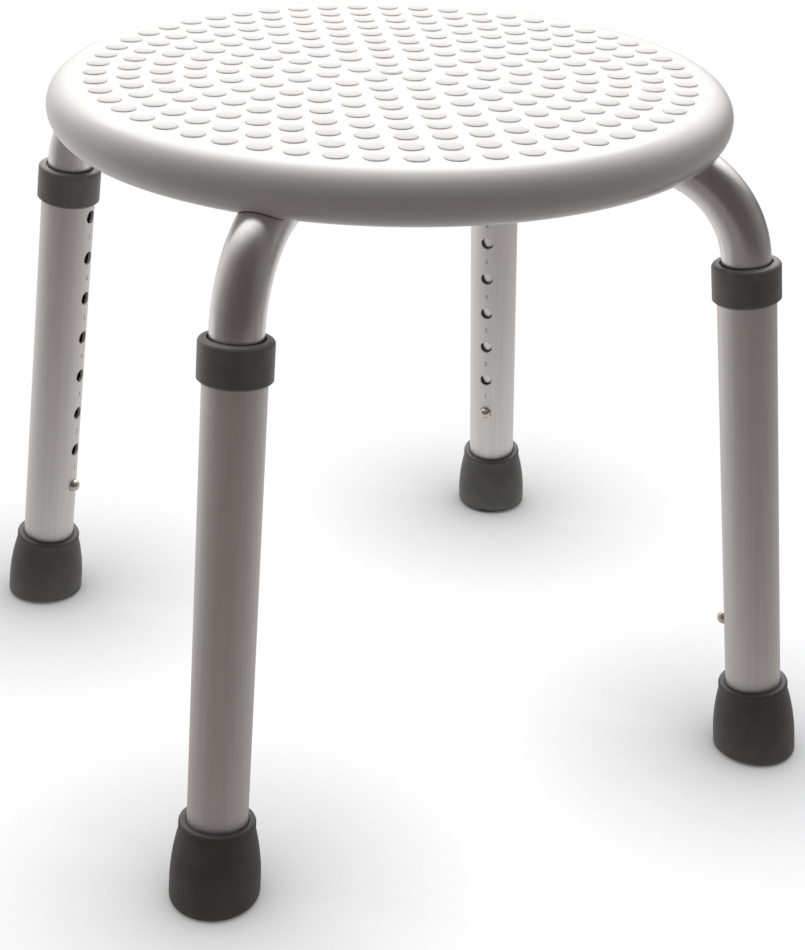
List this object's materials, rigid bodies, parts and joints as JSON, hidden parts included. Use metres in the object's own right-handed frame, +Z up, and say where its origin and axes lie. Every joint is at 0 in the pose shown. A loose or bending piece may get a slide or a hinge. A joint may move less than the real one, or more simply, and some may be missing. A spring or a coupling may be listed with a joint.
{
  "type": "shower stool",
  "caption": "Round white plastic shower stool with a dotted seat, splayed aluminium legs that adjust in height by snap buttons, dark collars and rubber feet.",
  "frame": {"origin": "on the floor, under the centre of the seat", "axes": "+Z up; the four legs stand on the diagonals between X and Y, at 45, 135, 225 and 315 degrees"},
  "size_m": [0.3672, 0.3672, 0.358],
  "materials": {
    "seat_plastic": "glossy white",
    "upper_aluminium": "polished",
    "lower_aluminium": "satin anodised",
    "collar_plastic": "satin dark grey",
    "foot_rubber": "matt charcoal",
    "button_nickel": "polished nickel",
    "spring_steel": "bright spring steel",
    "black_plastic": "matt black",
    "clamp_steel": "zinc plated",
    "screw_steel": "zinc plated"
  },
  "bodies": {
    "seat_frame": {"seat_shell": "seat_plastic", "seat_base": "seat_plastic", "base_screws": "screw_steel", "upper_tube_rear_right": "upper_aluminium", "button_spring_rear_right": "spring_steel", "arm_plug_rear_right": "black_plastic", "arm_clamp_rear_right": "clamp_steel", "clamp_screws_rear_right": "screw_steel", "upper_tube_rear_left": "upper_aluminium", "button_spring_rear_left": "spring_steel", "arm_plug_rear_left": "black_plastic", "arm_clamp_rear_left": "clamp_steel", "clamp_screws_rear_left": "screw_steel", "upper_tube_front_left": "upper_aluminium", "button_spring_front_left": "spring_steel", "arm_plug_front_left": "black_plastic", "arm_clamp_front_left": "clamp_steel", "clamp_screws_front_left": "screw_steel", "upper_tube_front_right": "upper_aluminium", "button_spring_front_right": "spring_steel", "arm_plug_front_right": "black_plastic", "arm_clamp_front_right": "clamp_steel", "clamp_screws_front_right": "screw_steel"},
    "lower_leg_rear_right": {"lower_tube_rear_right": "lower_aluminium", "collar_rear_right": "collar_plastic", "foot_rear_right": "foot_rubber", "foot_washer_rear_right": "clamp_steel"},
    "button_rear_right": {"snap_button_rear_right": "button_nickel"},
    "lower_leg_rear_left": {"lower_tube_rear_left": "lower_aluminium", "collar_rear_left": "collar_plastic", "foot_rear_left": "foot_rubber", "foot_washer_rear_left": "clamp_steel"},
    "button_rear_left": {"snap_button_rear_left": "button_nickel"},
    "lower_leg_front_left": {"lower_tube_front_left": "lower_aluminium", "collar_front_left": "collar_plastic", "foot_front_left": "foot_rubber", "foot_washer_front_left": "clamp_steel"},
    "button_front_left": {"snap_button_front_left": "button_nickel"},
    "lower_leg_front_right": {"lower_tube_front_right": "lower_aluminium", "collar_front_right": "collar_plastic", "foot_front_right": "foot_rubber", "foot_washer_front_right": "clamp_steel"},
    "button_front_right": {"snap_button_front_right": "button_nickel"}
  },
  "joints": [
    {"name": "leg_slide_rear_right", "type": "slide", "parent": "seat_frame", "child": "lower_leg_rear_right", "axis": [0.0911, 0.0911, -0.9917], "range_m": [0, 0.1778], "deforming": ["snap_button_rear_right"]},
    {"name": "button_press_rear_right", "type": "slide", "parent": "seat_frame", "child": "button_rear_right", "axis": [0.7012, 0.7012, 0.1288], "range_m": [0, 0.0065], "stiffness_N_per_m": 1500, "springref_m": -0.002, "deforming": ["button_spring_rear_right"]},
    {"name": "leg_slide_rear_left", "type": "slide", "parent": "seat_frame", "child": "lower_leg_rear_left", "axis": [-0.0911, 0.0911, -0.9917], "range_m": [0, 0.1778], "deforming": ["snap_button_rear_left"]},
    {"name": "button_press_rear_left", "type": "slide", "parent": "seat_frame", "child": "button_rear_left", "axis": [-0.7012, 0.7012, 0.1288], "range_m": [0, 0.0065], "stiffness_N_per_m": 1500, "springref_m": -0.002, "deforming": ["button_spring_rear_left"]},
    {"name": "leg_slide_front_left", "type": "slide", "parent": "seat_frame", "child": "lower_leg_front_left", "axis": [-0.0911, -0.0911, -0.9917], "range_m": [0, 0.1778], "deforming": ["snap_button_front_left"]},
    {"name": "button_press_front_left", "type": "slide", "parent": "seat_frame", "child": "button_front_left", "axis": [-0.7012, -0.7012, 0.1288], "range_m": [0, 0.0065], "stiffness_N_per_m": 1500, "springref_m": -0.002, "deforming": ["button_spring_front_left"]},
    {"name": "leg_slide_front_right", "type": "slide", "parent": "seat_frame", "child": "lower_leg_front_right", "axis": [0.0911, -0.0911, -0.9917], "range_m": [0, 0.1778], "deforming": ["snap_button_front_right"]},
    {"name": "button_press_front_right", "type": "slide", "parent": "seat_frame", "child": "button_front_right", "axis": [0.7012, -0.7012, 0.1288], "range_m": [0, 0.0065], "stiffness_N_per_m": 1500, "springref_m": -0.002, "deforming": ["button_spring_front_right"]}
  ]
}
